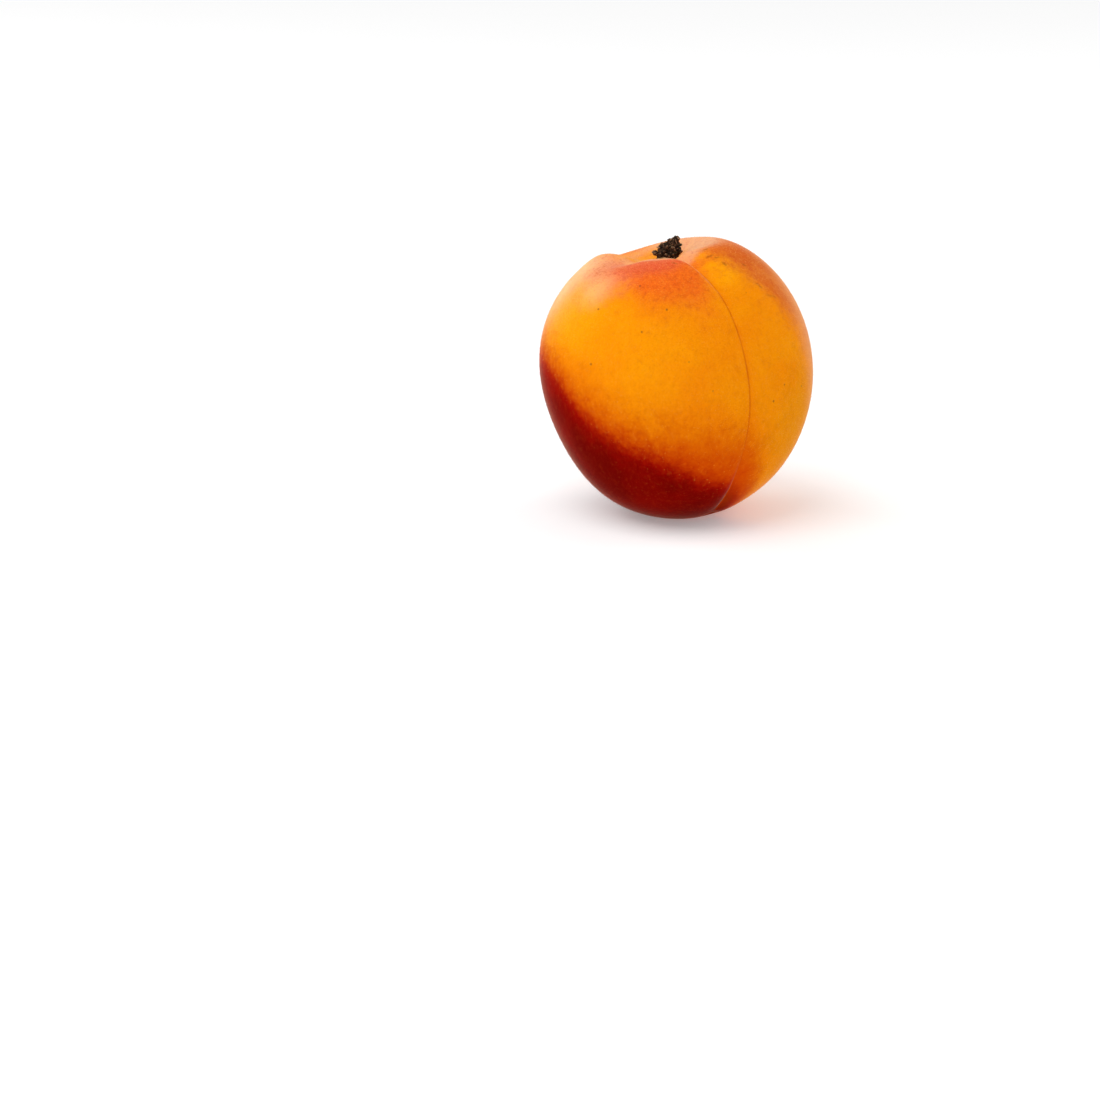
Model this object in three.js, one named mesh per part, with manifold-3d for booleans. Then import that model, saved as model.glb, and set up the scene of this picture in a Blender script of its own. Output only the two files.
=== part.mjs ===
// A ripe apricot with the woody stub of its stem, standing on a small flat spot at its blossom end.
// Millimetres, +Z up. The origin is on the flat spot, under the middle of the whole. The front is -Y.
import * as THREE from "three";
import { mergeVertices } from "three/addons/utils/BufferGeometryUtils.js";
import Module from "manifold-3d";

const wasm = await Module();
wasm.setup();

const radians = THREE.MathUtils.degToRad;
const degrees = THREE.MathUtils.radToDeg;
const ramp = THREE.MathUtils.smoothstep;
const bell = (x, width) => Math.exp(-((x / width) ** 2));

// Driving dimensions of the fruit, from the middle of its widest section, before it is stood up.
const CHEEK_RADIUS = 25.1; // half the width from cheek to cheek
const SUTURE_RADIUS = 25.1; // half the width from the suture to the back
const STEM_END = 25.3; // up to where the stem end would be without its cavity
const APEX_END = 28.3; // down to the apex

// How the fruit stands.
const SUTURE_TURN = radians(32.7); // of the suture from the front towards +X
const LEAN = radians(6.5); // of the stem axis towards -X
const REST_SPOT_RADIUS = 6.2; // of the flat spot that it stands on
const REST_SPOT_EDGE = 0.3; // height over which the flat spot curves into the skin

// Stem cavity.
const CAVITY_DEPTH = 7.6;
const CAVITY_WIDTH = 5.6; // distance from the axis at which the funnel has risen by about two thirds
const CAVITY_POWER = 1.7;
const RIM_RADIUS = 8.5; // of the crest round the cavity
const RIM_SPREAD = 4.8; // how far the crest's lowering and tilt reach in and out
const RIM_LOWERING = 1.15;
const RIM_TILT = 0.95; // by which the crest is higher on the high side, and lower opposite it
const HIGH_SIDE = radians(57); // azimuth from the suture
const SLUMP = 1.1; // by which the shoulder sags behind the cavity, on the low side
const SLUMP_SIDE = radians(-165);
const SLUMP_HALF_WIDTH = radians(46);
const SLUMP_RADIUS = 11;

// Swells and dips of the rim. Each has its height, its azimuth from the suture and half its width in
// degrees, and the distance from the axis at which it lies, with its reach in and out.
const RIM_WAVES = [
  { height: 1.8, azimuth: -123, halfWidth: 20, distance: 10.5, reach: 4.0 },
  { height: -0.55, azimuth: -82, halfWidth: 15, distance: 9.0, reach: 3.5 },
  { height: 0.2, azimuth: -51, halfWidth: 16, distance: 8.6, reach: 3.0 },
  { height: 1.3, azimuth: 18, halfWidth: 26, distance: 11.5, reach: 4.2 },
  { height: 0.6, azimuth: 15, halfWidth: 16, distance: 6.8, reach: 2.2 },
  { height: -0.8, azimuth: 94, halfWidth: 30, distance: 5.6, reach: 3.0 },
];

// Suture groove. Its depth is a sum of an opening at the rim, an even part and a foot near the apex.
const GROOVE_AT_RIM = 2.3;
const GROOVE_EVEN = 0.26;
const GROOVE_NEAR_APEX = 0.5;
const GROOVE_LEFT_WIDTH = 0.75; // the steep side, under the fuller lobe
const GROOVE_RIGHT_WIDTH = 1.3; // the gentle side
const LOBE_STEP = 0.22; // by which the fuller lobe stands above the other at the groove
const LOBE_STEP_AT_RIM = 0.4; // as much more near the rim
const VALLEY_DEPTH = 0.95; // of the broad hollow that the groove lies in
const VALLEY_WIDTH = 8;

// The suture's drift to one side: towards the cavity, and below the middle.
const SUTURE_DRIFT = radians(-3.8);
const SUTURE_DRIFT_REACH = 27;
const DRIFT_LOW = radians(-3.3);

// Heights of the slow unevenness of the flanks.
const FULL_CHEEK = 0.65;
const OVAL = -0.19;
const SWELL = 0.09;

// Scar of the flower's style, beside the apex at the suture's lower end.
const SCAR_POLAR = 161; // degrees from the stem end
const SCAR_RADIUS = 1.4;
const SCAR_DEPTH = 0.5;

// Stem stub and the hole that it stands in. The stub is a heap of lumps, tall towards +X, with a hook
// towards -X. Each lump has its middle and its half sizes, from the stem's foot on the cavity floor.
const STEM_LEAN = radians(9); // towards +X
const STEM_ROOT_RADIUS = 1.6;
const STEM_ROOT_DEPTH = 2.2; // below the cavity floor
const STEM_ROOT_TOP = 1.6;
const STEM_LUMPS = [
  { middle: [0.0, 0.0, 0.9], half: [1.55, 1.55, 1.2] },
  { middle: [0.25, 0.0, 2.0], half: [1.35, 1.45, 1.2] },
  { middle: [0.85, 0.05, 3.1], half: [1.15, 1.35, 1.2] },
  { middle: [1.05, 0.0, 4.3], half: [1.15, 1.25, 1.1] },
  { middle: [1.0, -0.05, 5.2], half: [0.95, 1.0, 0.9] },
  { middle: [0.95, -0.1, 6.0], half: [0.62, 0.62, 0.6] },
  { middle: [-0.75, 0.0, 2.8], half: [1.15, 1.25, 1.0] },
  { middle: [-0.8, 0.05, 3.7], half: [1.05, 1.15, 0.9] },
  { middle: [-0.55, 0.1, 4.6], half: [0.95, 0.9, 0.65] },
  { middle: [0.1, 0.0, 5.3], half: [0.55, 0.65, 0.5] },
];
const STEM_HOOK = [
  { middle: [-1.85, -0.3, 3.0], half: [0.5, 0.42, 0.3] },
  { middle: [-2.25, -0.35, 3.3], half: [0.4, 0.38, 0.45] },
  { middle: [-1.75, -0.35, 4.3], half: [0.42, 0.25, 0.2] },
];
const SOCKET_GAP = 0.3;
const SOCKET_RADIUS = 2.0;
const SCALE_COUNT = 16;
const SCALE_HALF = [0.45, 0.2, 0.35];

// Fineness of the meshes.
const SKIN_MERIDIANS = 72;
const SKIN_ROWS = 46;
const MERIDIAN_CROWDING = 0.74; // 0 spaces the meridians evenly, towards 1 crowds them at the suture
const ROW_CROWDING = 1.2; // above 1 crowds the rows at the stem end

// The shortest turn from one azimuth to another.
function turn(to, from) {
  const full = 2 * Math.PI;
  return ((((to - from + Math.PI) % full) + full) % full) - Math.PI;
}

// Depth of the suture groove at a polar angle from the stem end, in degrees.
function grooveDepth(polar) {
  const opening = GROOVE_AT_RIM * bell(polar - 23, 19);
  const foot = GROOVE_NEAR_APEX * bell(polar - 145, 26);
  return (opening + GROOVE_EVEN + foot) * ramp(polar, 6, 20) * (1 - ramp(polar, 152, SCAR_POLAR));
}

// The groove, the lobes beside it and the broad hollow round it. They fade out on the fruit's far side.
function sutureRelief(polar, azimuth, radius) {
  const across = radius * azimuth;
  const facing = ramp(Math.cos(azimuth), -0.3, 0.5);
  const nearRim = bell(polar - 20, 32);
  const widening = 1 + 0.9 * nearRim + 0.7 * bell(polar - 150, 28);
  const side = across < 0 ? GROOVE_LEFT_WIDTH : GROOVE_RIGHT_WIDTH * (1 + 0.5 * nearRim);
  const crease = -grooveDepth(polar) * Math.exp(-((Math.abs(across) / (side * widening)) ** 1.2));
  const fade = ramp(polar, 10, 26) * (1 - ramp(polar, 140, SCAR_POLAR));
  const lobe = LOBE_STEP + LOBE_STEP_AT_RIM * bell(polar - 28, 18);
  const step = -lobe * Math.tanh(across / 1.5) * bell(across, 9) * fade;
  const valley = -VALLEY_DEPTH * (0.45 + 0.55 * nearRim) * bell(across, VALLEY_WIDTH) * fade;
  return (crease + step + valley) * facing;
}

// Height of the crest round the cavity and of the shoulder behind it.
function rimRelief(azimuth, radius) {
  const wave = RIM_TILT * Math.cos(azimuth - HIGH_SIDE) - RIM_LOWERING;
  const slump = -SLUMP * bell(turn(azimuth, SLUMP_SIDE), SLUMP_HALF_WIDTH) * bell(radius - SLUMP_RADIUS, 6);
  let relief = wave * bell(radius - RIM_RADIUS, RIM_SPREAD) + slump;
  for (const { height, azimuth: middle, halfWidth, distance, reach } of RIM_WAVES) {
    const aside = degrees(turn(azimuth, radians(middle)));
    relief += height * bell(aside, halfWidth) * bell(radius - distance, reach);
  }
  return relief * ramp(radius, 1, 5);
}

// Slow unevenness of a grown fruit. Azimuths are counted from the suture.
function unevenness(theta, azimuth) {
  const polar = degrees(theta);
  const fullCheek = FULL_CHEEK * Math.cos(azimuth - HIGH_SIDE) * bell(polar - 108, 32);
  const fullBase = 0.3 * bell(polar - 142, 22);
  const oval = OVAL * Math.sin(2 * azimuth + 0.6) * Math.sin(theta) ** 2;
  const swell = SWELL * Math.sin(3 * azimuth - 1.1 + 1.5 * theta) * Math.sin(theta);
  const ripple = 0.07 * Math.sin(5 * azimuth + 4 * theta) * Math.sin(theta) ** 2;
  return fullCheek + fullBase + oval + swell + ripple;
}

// Where a point with an azimuth from the suture lies, since the suture drifts to one side.
function headingOf(polar, azimuth) {
  const nearCavity = SUTURE_DRIFT * bell(Math.max(polar - 20, 0), SUTURE_DRIFT_REACH);
  const drift = nearCavity + DRIFT_LOW * ramp(polar, 90, 135);
  return azimuth + drift * ramp(Math.cos(azimuth), -0.3, 0.5);
}

// A point of the skin before the fruit is stood up. theta is the angle from the stem end.
function skinPoint(theta, azimuth) {
  const polar = degrees(theta);
  const heading = headingOf(polar, azimuth);
  const plan = 1 / Math.hypot(Math.sin(heading) / CHEEK_RADIUS, Math.cos(heading) / SUTURE_RADIUS);
  const radius = plan * Math.sin(theta);
  const upper = ramp(Math.cos(theta), -0.2, 0.2);
  const reachUp = APEX_END + (STEM_END - APEX_END) * ramp(Math.cos(theta), -1, 1);
  const funnel = upper * CAVITY_DEPTH * Math.exp(-((radius / CAVITY_WIDTH) ** CAVITY_POWER));
  const scarAcross = Math.hypot(radius * azimuth, APEX_END * radians(polar - SCAR_POLAR));
  const relief =
    sutureRelief(polar, azimuth, radius) +
    unevenness(theta, heading) * ramp(radius, 1, 8) +
    rimRelief(heading, radius) * upper -
    SCAR_DEPTH * bell(scarAcross, SCAR_RADIUS);
  const out = radius + relief * Math.sin(theta);
  return new THREE.Vector3(
    out * Math.sin(heading),
    -out * Math.cos(heading),
    (reachUp + relief) * Math.cos(theta) - funnel,
  );
}

// Turns the fruit from its own frame to how it stands.
const UP = new THREE.Vector3(0, 0, 1);
const BACK = new THREE.Vector3(0, 1, 0);
const stand = new THREE.Quaternion()
  .setFromAxisAngle(BACK, -LEAN)
  .multiply(new THREE.Quaternion().setFromAxisAngle(UP, SUTURE_TURN));

// Lifts what is under the rest plane onto it, with a rounded edge.
function liftedTo(plane, z) {
  const above = z - plane;
  if (above >= REST_SPOT_EDGE) return z;
  if (above <= -REST_SPOT_EDGE) return plane;
  return plane + (above + REST_SPOT_EDGE) ** 2 / (4 * REST_SPOT_EDGE);
}

// A closed three.js geometry as a manifold solid.
function solidOf(geometry) {
  const bare = geometry.clone();
  bare.deleteAttribute("normal");
  bare.deleteAttribute("uv");
  const merged = mergeVertices(bare, 1e-4);
  return new wasm.Manifold(
    new wasm.Mesh({
      numProp: 3,
      vertProperties: new Float32Array(merged.attributes.position.array),
      triVerts: new Uint32Array(merged.index.array),
    }),
  );
}

// A manifold solid as a three.js geometry.
function geometryOf(solid) {
  const { vertProperties, triVerts } = solid.getMesh();
  const geometry = new THREE.BufferGeometry();
  geometry.setAttribute("position", new THREE.BufferAttribute(new Float32Array(vertProperties), 3));
  geometry.setIndex(new THREE.BufferAttribute(new Uint32Array(triVerts), 1));
  geometry.computeVertexNormals();
  return geometry;
}

// The fruit's skin, from a sphere whose every vertex is moved to its place, standing on its flat spot.
function skinGeometry() {
  const sphere = new THREE.SphereGeometry(1, SKIN_MERIDIANS, SKIN_ROWS);
  const { position, uv } = sphere.attributes;
  for (let i = 0; i < position.count; i++) {
    const even = (uv.getX(i) - 0.5) * 2 * Math.PI;
    const azimuth = even - MERIDIAN_CROWDING * Math.sin(even);
    const row = Math.round((1 - uv.getY(i)) * SKIN_ROWS) / SKIN_ROWS;
    const point = skinPoint(Math.PI * row ** ROW_CROWDING, azimuth).applyQuaternion(stand);
    position.setXYZ(i, point.x, point.y, point.z);
  }
  sphere.computeBoundingBox();
  const apexCurvatureRadius = CHEEK_RADIUS ** 2 / APEX_END;
  const restPlane = sphere.boundingBox.min.z + REST_SPOT_RADIUS ** 2 / (2 * apexCurvatureRadius);
  for (let i = 0; i < position.count; i++) position.setZ(i, liftedTo(restPlane, position.getZ(i)));
  return sphere;
}

// Where the stem stands: its foot on the cavity floor, its axis along the place's +Z.
function stemPlace() {
  const place = new THREE.Object3D();
  place.position.copy(skinPoint(0, 0)).applyQuaternion(stand);
  place.quaternion.setFromAxisAngle(BACK, STEM_LEAN);
  place.updateMatrix();
  return place.matrix;
}

// The hole in the cavity floor that holds the stem's root.
function socketGeometry() {
  const deep = STEM_ROOT_DEPTH + SOCKET_GAP;
  const above = 3;
  const hole = new THREE.CylinderGeometry(SOCKET_RADIUS, SOCKET_RADIUS, deep + above, 16);
  return hole.rotateX(Math.PI / 2).translate(0, 0, (above - deep) / 2).applyMatrix4(stemPlace());
}

// The stem's round root.
function stemRoot() {
  const height = STEM_ROOT_DEPTH + STEM_ROOT_TOP;
  const root = new THREE.CylinderGeometry(STEM_ROOT_RADIUS, STEM_ROOT_RADIUS * 0.92, height, 16);
  return root.rotateX(Math.PI / 2).translate(0, 0, (STEM_ROOT_TOP - STEM_ROOT_DEPTH) / 2);
}

function lumpGeometry({ middle, half }, around, along) {
  const lump = new THREE.SphereGeometry(1, around, along).rotateX(Math.PI / 2);
  return lump.scale(...half).translate(...middle);
}

// One dried bud scale: a thick flake that stands out of one of the upper lumps.
function stemScale(index) {
  const { middle, half } = STEM_LUMPS[2 + (index % 8)];
  const heading = index * radians(137.5);
  const rise = 0.2 + 0.5 * Math.sin(2.3 * index);
  const way = new THREE.Vector3(Math.cos(heading), Math.sin(heading), rise).normalize();
  const flake = new THREE.SphereGeometry(1, 7, 5).scale(...SCALE_HALF);
  flake.rotateX(0.5 * Math.sin(5 * index));
  flake.applyQuaternion(new THREE.Quaternion().setFromUnitVectors(BACK, way));
  const [x, y, z] = [way.x * half[0], way.y * half[1], way.z * half[2]].map((reach) => reach * 0.97);
  return flake.translate(middle[0] + x, middle[1] + y, middle[2] + z);
}

function stemSolid() {
  let stub = solidOf(stemRoot());
  for (const lump of STEM_LUMPS) stub = stub.add(solidOf(lumpGeometry(lump, 12, 8)));
  for (const lump of STEM_HOOK) stub = stub.add(solidOf(lumpGeometry(lump, 8, 6)));
  for (let i = 0; i < SCALE_COUNT; i++) stub = stub.add(solidOf(stemScale(i)));
  return stub;
}

const skinMaterial = new THREE.MeshStandardMaterial({ color: 0xf29a1f, roughness: 0.62, metalness: 0 });
const stemMaterial = new THREE.MeshStandardMaterial({ color: 0x3a2517, roughness: 0.9, metalness: 0 });

const flesh = solidOf(skinGeometry()).subtract(solidOf(socketGeometry()));
const fruit = new THREE.Mesh(geometryOf(flesh), skinMaterial);
fruit.name = "fruit";

const stem = new THREE.Mesh(geometryOf(stemSolid().transform(stemPlace().elements)), stemMaterial);
stem.name = "stem";

const apricot = new THREE.Group();
apricot.add(fruit, stem);
const bounds = new THREE.Box3().setFromObject(apricot, true);
const middle = bounds.getCenter(new THREE.Vector3());
apricot.position.set(-middle.x, -middle.y, -bounds.min.z);

export default apricot;
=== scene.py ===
"""Finishes the apricot: velvety skin with blush, specks and suture, its down, and its crumbly stem stub."""
import math

import bmesh
import bpy
import numpy as np
from mathutils import Euler, Matrix, Vector
from mathutils.bvhtree import BVHTree


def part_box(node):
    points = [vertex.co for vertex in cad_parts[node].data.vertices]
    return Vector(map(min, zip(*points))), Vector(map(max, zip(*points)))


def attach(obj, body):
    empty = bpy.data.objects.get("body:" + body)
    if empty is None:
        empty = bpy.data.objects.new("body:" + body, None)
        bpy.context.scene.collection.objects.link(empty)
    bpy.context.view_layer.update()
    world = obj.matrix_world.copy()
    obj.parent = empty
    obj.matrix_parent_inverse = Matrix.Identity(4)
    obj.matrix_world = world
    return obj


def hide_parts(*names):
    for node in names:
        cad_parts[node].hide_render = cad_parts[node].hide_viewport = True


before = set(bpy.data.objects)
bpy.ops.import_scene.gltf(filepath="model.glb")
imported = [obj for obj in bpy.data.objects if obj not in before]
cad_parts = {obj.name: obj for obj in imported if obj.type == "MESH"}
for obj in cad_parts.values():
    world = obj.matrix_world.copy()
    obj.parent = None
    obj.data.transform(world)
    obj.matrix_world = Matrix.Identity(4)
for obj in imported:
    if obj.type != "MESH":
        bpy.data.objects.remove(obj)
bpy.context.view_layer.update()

MM = 0.001

# Driving dimensions of the fruit in millimetres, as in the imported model, from its widest section.
CHEEK_RADIUS = 25.1
SUTURE_RADIUS = 25.1
STEM_END = 25.3
APEX_END = 28.3
SUTURE_TURN = math.radians(32.7)
LEAN = math.radians(6.5)
REST_SPOT_RADIUS = 6.2
REST_SPOT_EDGE = 0.3
CAVITY_DEPTH = 7.6
CAVITY_WIDTH = 5.6
CAVITY_POWER = 1.7
RIM_RADIUS = 8.5
RIM_SPREAD = 4.8
RIM_LOWERING = 1.15
RIM_TILT = 0.95
HIGH_SIDE = math.radians(57)
SLUMP = 1.1
SLUMP_SIDE = math.radians(-165)
SLUMP_HALF_WIDTH = math.radians(46)
SLUMP_RADIUS = 11
# Swells and dips of the rim: height, then azimuth from the suture and half width in degrees, then distance
# from the fruit's axis and spread.
RIM_WAVES = [
    (1.8, -123, 20, 10.5, 4.0),
    (-0.55, -82, 15, 9.0, 3.5),
    (0.2, -51, 16, 8.6, 3.0),
    (1.3, 18, 26, 11.5, 4.2),
    (0.6, 15, 16, 6.8, 2.2),
    (-0.8, 94, 30, 5.6, 3.0),
]
SCAR_POLAR = 161
SCAR_RADIUS = 1.4
SCAR_DEPTH = 0.5
STEM_LEAN = math.radians(9)

# The suture. A stretch is the polar angle of its middle and its reach to both sides, in degrees. A start and
# an end are the two polar angles between which a relief fades in or out.
SUTURE_DRIFT = math.radians(-3.8)
SUTURE_DRIFT_FROM = 20
SUTURE_DRIFT_REACH = 27
DRIFT_LOW = math.radians(-3.3)
DRIFT_LOW_START = (90, 135)
# Cosines of the azimuth between which its relief appears: there is none on the far side of the fruit.
SUTURE_SIDE = (-0.3, 0.5)
GROOVE_AT_RIM = 2.3
GROOVE_RIM_STRETCH = (23, 19)
GROOVE_EVEN = 0.26
GROOVE_NEAR_APEX = 0.5
GROOVE_APEX_STRETCH = (145, 26)
GROOVE_START = (6, 20)
GROOVE_END = (152, SCAR_POLAR)
GROOVE_LEFT_WIDTH = 0.75
GROOVE_RIGHT_WIDTH = 1.3
GROOVE_RIGHT_WIDENING = 0.5
GROOVE_POWER = 1.2
WIDENING_AT_RIM = 0.9
WIDE_RIM_STRETCH = (20, 32)
WIDENING_NEAR_APEX = 0.7
WIDE_APEX_STRETCH = (150, 28)
LOBE_STEP = 0.22
LOBE_STEP_AT_RIM = 0.4
LOBE_RIM_STRETCH = (28, 18)
LOBE_STEP_WIDTH = 1.5
LOBE_STEP_REACH = 9
VALLEY_DEPTH = 0.95
VALLEY_EVEN = 0.45
VALLEY_AT_RIM = 0.55
VALLEY_WIDTH = 8
LOBES_START = (10, 26)
LOBES_END = (140, SCAR_POLAR)

# Heights of the slow unevenness of the flanks.
FULL_CHEEK = 0.65
FULL_CHEEK_STRETCH = (108, 32)
FULL_BASE = 0.3
FULL_BASE_STRETCH = (142, 22)
OVAL = -0.19
SWELL = 0.09
RIPPLE = 0.07

# Fineness of the skin.
MERIDIANS = 360
ROWS = 230
MERIDIAN_CROWDING = 0.74
ROW_CROWDING = 1.2

# The photograph: its side and the fruit's outline there, in pixels, and the lens taken for it.
PHOTO_SIDE = 1100
FRUIT_CENTRE_PX = (676, 377)
FRUIT_WIDTH_PX = 273
VIEW_ELEVATION = math.radians(12.5)
LENS = 100
SENSOR = 36


def bell(x, width):
    return np.exp(-((x / width) ** 2))


def ramp(x, low, high):
    t = np.clip((x - low) / (high - low), 0, 1)
    return t * t * (3 - 2 * t)


def stretch(polar, middle, reach):
    return bell(polar - middle, reach)


def turn(to, start):
    return (to - start + math.pi) % (2 * math.pi) - math.pi


def groove_depth(polar):
    opening = GROOVE_AT_RIM * stretch(polar, *GROOVE_RIM_STRETCH)
    foot = GROOVE_NEAR_APEX * stretch(polar, *GROOVE_APEX_STRETCH)
    return (opening + GROOVE_EVEN + foot) * ramp(polar, *GROOVE_START) * (1 - ramp(polar, *GROOVE_END))


def suture_relief(polar, azimuth, radius):
    """The suture's crease, the step from one lobe to the other and the shallow valley that holds both."""
    across = radius * azimuth
    facing = ramp(np.cos(azimuth), *SUTURE_SIDE)
    near_rim = stretch(polar, *WIDE_RIM_STRETCH)
    near_apex = stretch(polar, *WIDE_APEX_STRETCH)
    widening = 1 + WIDENING_AT_RIM * near_rim + WIDENING_NEAR_APEX * near_apex
    right = GROOVE_RIGHT_WIDTH * (1 + GROOVE_RIGHT_WIDENING * near_rim)
    side = np.where(across < 0, GROOVE_LEFT_WIDTH, right)
    crease = -groove_depth(polar) * np.exp(-((np.abs(across) / (side * widening)) ** GROOVE_POWER))
    fade = ramp(polar, *LOBES_START) * (1 - ramp(polar, *LOBES_END))
    lobe = LOBE_STEP + LOBE_STEP_AT_RIM * stretch(polar, *LOBE_RIM_STRETCH)
    step = -lobe * np.tanh(across / LOBE_STEP_WIDTH) * bell(across, LOBE_STEP_REACH) * fade
    valley = -VALLEY_DEPTH * (VALLEY_EVEN + VALLEY_AT_RIM * near_rim) * bell(across, VALLEY_WIDTH) * fade
    return (crease + step + valley) * facing


def rim_relief(azimuth, radius):
    wave = RIM_TILT * np.cos(azimuth - HIGH_SIDE) - RIM_LOWERING
    slump = -SLUMP * bell(turn(azimuth, SLUMP_SIDE), SLUMP_HALF_WIDTH) * bell(radius - SLUMP_RADIUS, 6)
    relief = wave * bell(radius - RIM_RADIUS, RIM_SPREAD) + slump
    for height, middle, half_width, distance, spread in RIM_WAVES:
        aside = np.degrees(turn(azimuth, math.radians(middle)))
        relief = relief + height * bell(aside, half_width) * bell(radius - distance, spread)
    return relief * ramp(radius, 1, 5)


def unevenness(theta, azimuth):
    polar = np.degrees(theta)
    full_cheek = FULL_CHEEK * np.cos(azimuth - HIGH_SIDE) * stretch(polar, *FULL_CHEEK_STRETCH)
    full_base = FULL_BASE * stretch(polar, *FULL_BASE_STRETCH)
    oval = OVAL * np.sin(2 * azimuth + 0.6) * np.sin(theta) ** 2
    swell = SWELL * np.sin(3 * azimuth - 1.1 + 1.5 * theta) * np.sin(theta)
    ripple = RIPPLE * np.sin(5 * azimuth + 4 * theta) * np.sin(theta) ** 2
    return full_cheek + full_base + oval + swell + ripple


def heading_of(polar, azimuth):
    """Azimuths run along the suture, which drifts to one side near the cavity."""
    facing = ramp(np.cos(azimuth), *SUTURE_SIDE)
    drift_high = SUTURE_DRIFT * bell(np.maximum(polar - SUTURE_DRIFT_FROM, 0), SUTURE_DRIFT_REACH)
    drift_low = DRIFT_LOW * ramp(polar, *DRIFT_LOW_START)
    return azimuth + (drift_high + drift_low) * facing


def skin_points(theta, azimuth):
    """The skin's points before the fruit is stood up, in millimetres, by angle from the stem end."""
    polar = np.degrees(theta)
    heading = heading_of(polar, azimuth)
    plan = 1 / np.hypot(np.sin(heading) / CHEEK_RADIUS, np.cos(heading) / SUTURE_RADIUS)
    radius = plan * np.sin(theta)
    upper = ramp(np.cos(theta), -0.2, 0.2)
    reach_up = APEX_END + (STEM_END - APEX_END) * ramp(np.cos(theta), -1, 1)
    funnel = upper * CAVITY_DEPTH * np.exp(-((np.abs(radius) / CAVITY_WIDTH) ** CAVITY_POWER))
    scar_across = np.hypot(radius * azimuth, APEX_END * np.radians(polar - SCAR_POLAR))
    relief = (
        suture_relief(polar, azimuth, radius)
        + unevenness(theta, heading) * ramp(radius, 1, 8)
        + rim_relief(heading, radius) * upper
        - SCAR_DEPTH * bell(scar_across, SCAR_RADIUS)
    )
    out = radius + relief * np.sin(theta)
    return np.stack(
        [
            out * np.sin(heading),
            -out * np.cos(heading),
            (reach_up + relief) * np.cos(theta) - funnel,
        ],
        axis=-1,
    )


stand = np.array(Matrix.Rotation(-LEAN, 3, "Y") @ Matrix.Rotation(SUTURE_TURN, 3, "Z"))


def lifted_to(plane, z):
    above = z - plane
    edge = plane + (above + REST_SPOT_EDGE) ** 2 / (4 * REST_SPOT_EDGE)
    return np.where(above >= REST_SPOT_EDGE, z, np.where(above <= -REST_SPOT_EDGE, plane, edge))


def mesh_object(name, points, faces):
    mesh = bpy.data.meshes.new(name)
    mesh.from_pydata(np.asarray(points, float).tolist(), [], faces)
    mesh.shade_smooth()
    made = bpy.data.objects.new(name, mesh)
    bpy.context.scene.collection.objects.link(made)
    return made


def float_attribute(mesh, name, values):
    mesh.attributes.new(name, "FLOAT", "POINT").data.foreach_set("value", np.asarray(values, np.float32))


# The skin's grid: a pole, the rows between, and the other pole.
row_share = np.arange(1, ROWS) / ROWS
thetas = math.pi * row_share**ROW_CROWDING
even = (np.arange(MERIDIANS) / MERIDIANS - 0.5) * 2 * math.pi
azimuths = even - MERIDIAN_CROWDING * np.sin(even)
grid_theta, grid_azimuth = np.meshgrid(thetas, azimuths, indexing="ij")
all_theta = np.concatenate([[0.0], grid_theta.ravel(), [math.pi]])
all_azimuth = np.concatenate([[0.0], grid_azimuth.ravel(), [0.0]])
skin = skin_points(all_theta, all_azimuth) @ stand.T
rest_plane = skin[:, 2].min() + REST_SPOT_RADIUS**2 * APEX_END / (2 * CHEEK_RADIUS**2)
skin[:, 2] = lifted_to(rest_plane, skin[:, 2])

fruit_low, fruit_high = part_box("fruit")
cad_middle = (fruit_low + fruit_high) / 2 / MM
fine_middle = (skin.min(0) + skin.max(0)) / 2
shift = np.array([cad_middle.x - fine_middle[0], cad_middle.y - fine_middle[1], -rest_plane])
skin = (skin + shift) * MM

last = len(skin) - 1


def at(row, meridian):
    return 1 + row * MERIDIANS + meridian % MERIDIANS


faces = [(0, at(0, j), at(0, j + 1)) for j in range(MERIDIANS)]
for i in range(ROWS - 2):
    faces += [(at(i, j), at(i + 1, j), at(i + 1, j + 1), at(i, j + 1)) for j in range(MERIDIANS)]
faces += [(last, at(ROWS - 2, j + 1), at(ROWS - 2, j)) for j in range(MERIDIANS)]
fruit = mesh_object("apricot_skin", skin, faces)


def camera_axes():
    """The camera's right, up and forward vectors that see the fruit at its place in the photograph."""
    u = (FRUIT_CENTRE_PX[0] - PHOTO_SIDE / 2) * SENSOR / PHOTO_SIDE
    v = (PHOTO_SIDE / 2 - FRUIT_CENTRE_PX[1]) * SENSOR / PHOTO_SIDE
    reach = math.sqrt(u * u + v * v + LENS * LENS)
    down = math.atan2(v, LENS) + math.asin(reach * math.sin(VIEW_ELEVATION) / math.hypot(LENS, v))
    yaw = math.atan2(u, v * math.sin(down) + LENS * math.cos(down))
    right = Vector((math.cos(yaw), math.sin(yaw), 0))
    ahead = Vector((-math.sin(yaw) * math.cos(down), math.cos(yaw) * math.cos(down), -math.sin(down)))
    return right, right.cross(ahead), ahead, reach


def add_camera():
    right, up, ahead, reach = camera_axes()
    fruit_width = fruit_high.x - fruit_low.x
    depth = LENS / SENSOR * PHOTO_SIDE * fruit_width / FRUIT_WIDTH_PX
    sight = Vector((0, math.cos(VIEW_ELEVATION), -math.sin(VIEW_ELEVATION)))
    data = bpy.data.cameras.new("camera")
    data.lens = LENS
    data.sensor_width = SENSOR
    camera = bpy.data.objects.new("camera", data)
    bpy.context.scene.collection.objects.link(camera)
    place = (fruit_low + fruit_high) / 2 - sight * depth * reach / LENS
    camera.matrix_world = Matrix.Translation(place) @ Matrix((right, up, -ahead)).transposed().to_4x4()
    bpy.context.scene.camera = camera
    return camera


camera = add_camera()


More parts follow.
